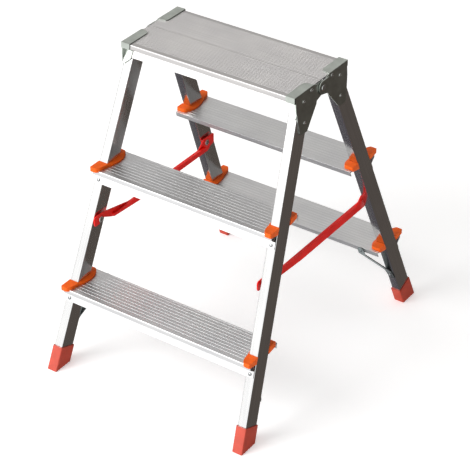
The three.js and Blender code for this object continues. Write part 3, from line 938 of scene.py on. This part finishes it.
def add_camera():
    a, e, r = CAMERA_AZIMUTH, CAMERA_ELEVATION, CAMERA_ROLL
    back = Vector((math.sin(a) * math.cos(e), -math.cos(a) * math.cos(e), math.sin(e)))
    right = Vector((math.cos(a), math.sin(a), 0))
    up = back.cross(right)
    turned_right = right * math.cos(r) + up * math.sin(r)
    turned_up = up * math.cos(r) - right * math.sin(r)
    place_at = right * CAMERA_TARGET[0] + Vector((0, 0, CAMERA_TARGET[1])) + back * CAMERA_DISTANCE
    data = bpy.data.cameras.new("camera")
    data.lens = CAMERA_LENS
    data.sensor_width = CAMERA_SENSOR
    camera = bpy.data.objects.new("camera", data)
    axes = Matrix((turned_right, turned_up, back)).transposed()
    camera.matrix_world = Matrix.Translation(place_at) @ axes.to_4x4()
    bpy.context.scene.collection.objects.link(camera)
    bpy.context.scene.camera = camera


def add_floor():
    """A pale floor that shines a little by itself, as in a bright studio."""
    circle = arc(0, 0, FLOOR_RADIUS, 0, 360, 64)[:-1]
    floor = prism(circle, -FLOOR_THICKNESS, -FLOOR_DROP, "z")
    floor.name = "floor"
    material, shader = new_material("studio_floor", metallic=0.0, specular=0.1)
    shader.inputs["Base Color"].default_value = (0.93, 0.93, 0.93, 1)
    shader.inputs["Roughness"].default_value = 0.95
    shader.inputs["Emission Color"].default_value = (1, 1, 1, 1)
    shader.inputs["Emission Strength"].default_value = 0.35
    floor.data.materials.append(material)
    floor.visible_glossy = False


def add_softbox(name, position, target, size, power):
    data = bpy.data.lights.new(name, "AREA")
    data.shape = "RECTANGLE"
    data.size, data.size_y = size
    data.energy = power
    light = bpy.data.objects.new(name, data)
    aim = Vector(target) - Vector(position)
    light.matrix_world = (Matrix.Translation(position)
                          @ aim.to_track_quat("-Z", "Y").to_matrix().to_4x4())
    bpy.context.scene.collection.objects.link(light)


def smooth_step(tree, direction, towards, start, end):
    """Goes from 0 to 1 as the direction turns towards a vector."""
    dot = tree.nodes.new("ShaderNodeVectorMath")
    dot.operation = "DOT_PRODUCT"
    dot.inputs[1].default_value = Vector(towards).normalized()
    tree.links.new(direction, dot.inputs[0])
    step = tree.nodes.new("ShaderNodeMapRange")
    step.interpolation_type = "SMOOTHSTEP"
    step.inputs["From Min"].default_value = start
    step.inputs["From Max"].default_value = end
    tree.links.new(dot.outputs["Value"], step.inputs["Value"])
    return step.outputs["Result"]


def add_world():
    """A pale room that darkens downwards, with bright and dark areas at its sides.

    Each layer has the direction of its middle, the cosines at which it starts and is full,
    and its colour; the first runs from the floor to the ceiling and so has two colours.
    """
    world = bpy.data.worlds.new("studio")
    bpy.context.scene.world = world
    world.use_nodes = True
    tree = world.node_tree
    background = tree.nodes["Background"]
    direction = tree.nodes.new("ShaderNodeTexCoord").outputs["Generated"]
    colour = None
    room = ((0, 0, 1), -0.6, 0.35, (0.10, 0.093, 0.105), (0.64, 0.63, 0.62))
    bright_front = ((-0.2, -1, 0.1), 0.42, 0.68, None, (1.3, 1.3, 1.3))
    dim_right_side = ((1, 0.3, 0), 0.10, 0.70, None, (0.10, 0.095, 0.095))
    dark_low_right = ((0.62, 0.62, -0.5), 0.30, 0.80, None, (0.10, 0.085, 0.076))
    card_low_behind = ((-0.48, 0.5, -0.72), 0.84, 0.94, None, (1.2, 1.2, 1.2))
    layers = (room, bright_front, dim_right_side, dark_low_right, card_low_behind)
    for towards, start, end, first, second in layers:
        mix = tree.nodes.new("ShaderNodeMix")
        mix.data_type = "RGBA"
        tree.links.new(smooth_step(tree, direction, towards, start, end), mix.inputs["Factor"])
        if first:
            mix.inputs["A"].default_value = (*first, 1)
        else:
            tree.links.new(colour, mix.inputs["A"])
        mix.inputs["B"].default_value = (*second, 1)
        colour = mix.outputs["Result"]
    tree.links.new(colour, background.inputs["Color"])
    background.inputs["Strength"].default_value = 1.0


build_ladder()
add_camera()
add_floor()
add_world()
add_softbox("key", (-1.9, -3.4, 2.6), (0, 0, 0.3), (2.6, 2.6), 120)
bpy.context.scene.view_settings.view_transform = "Standard"
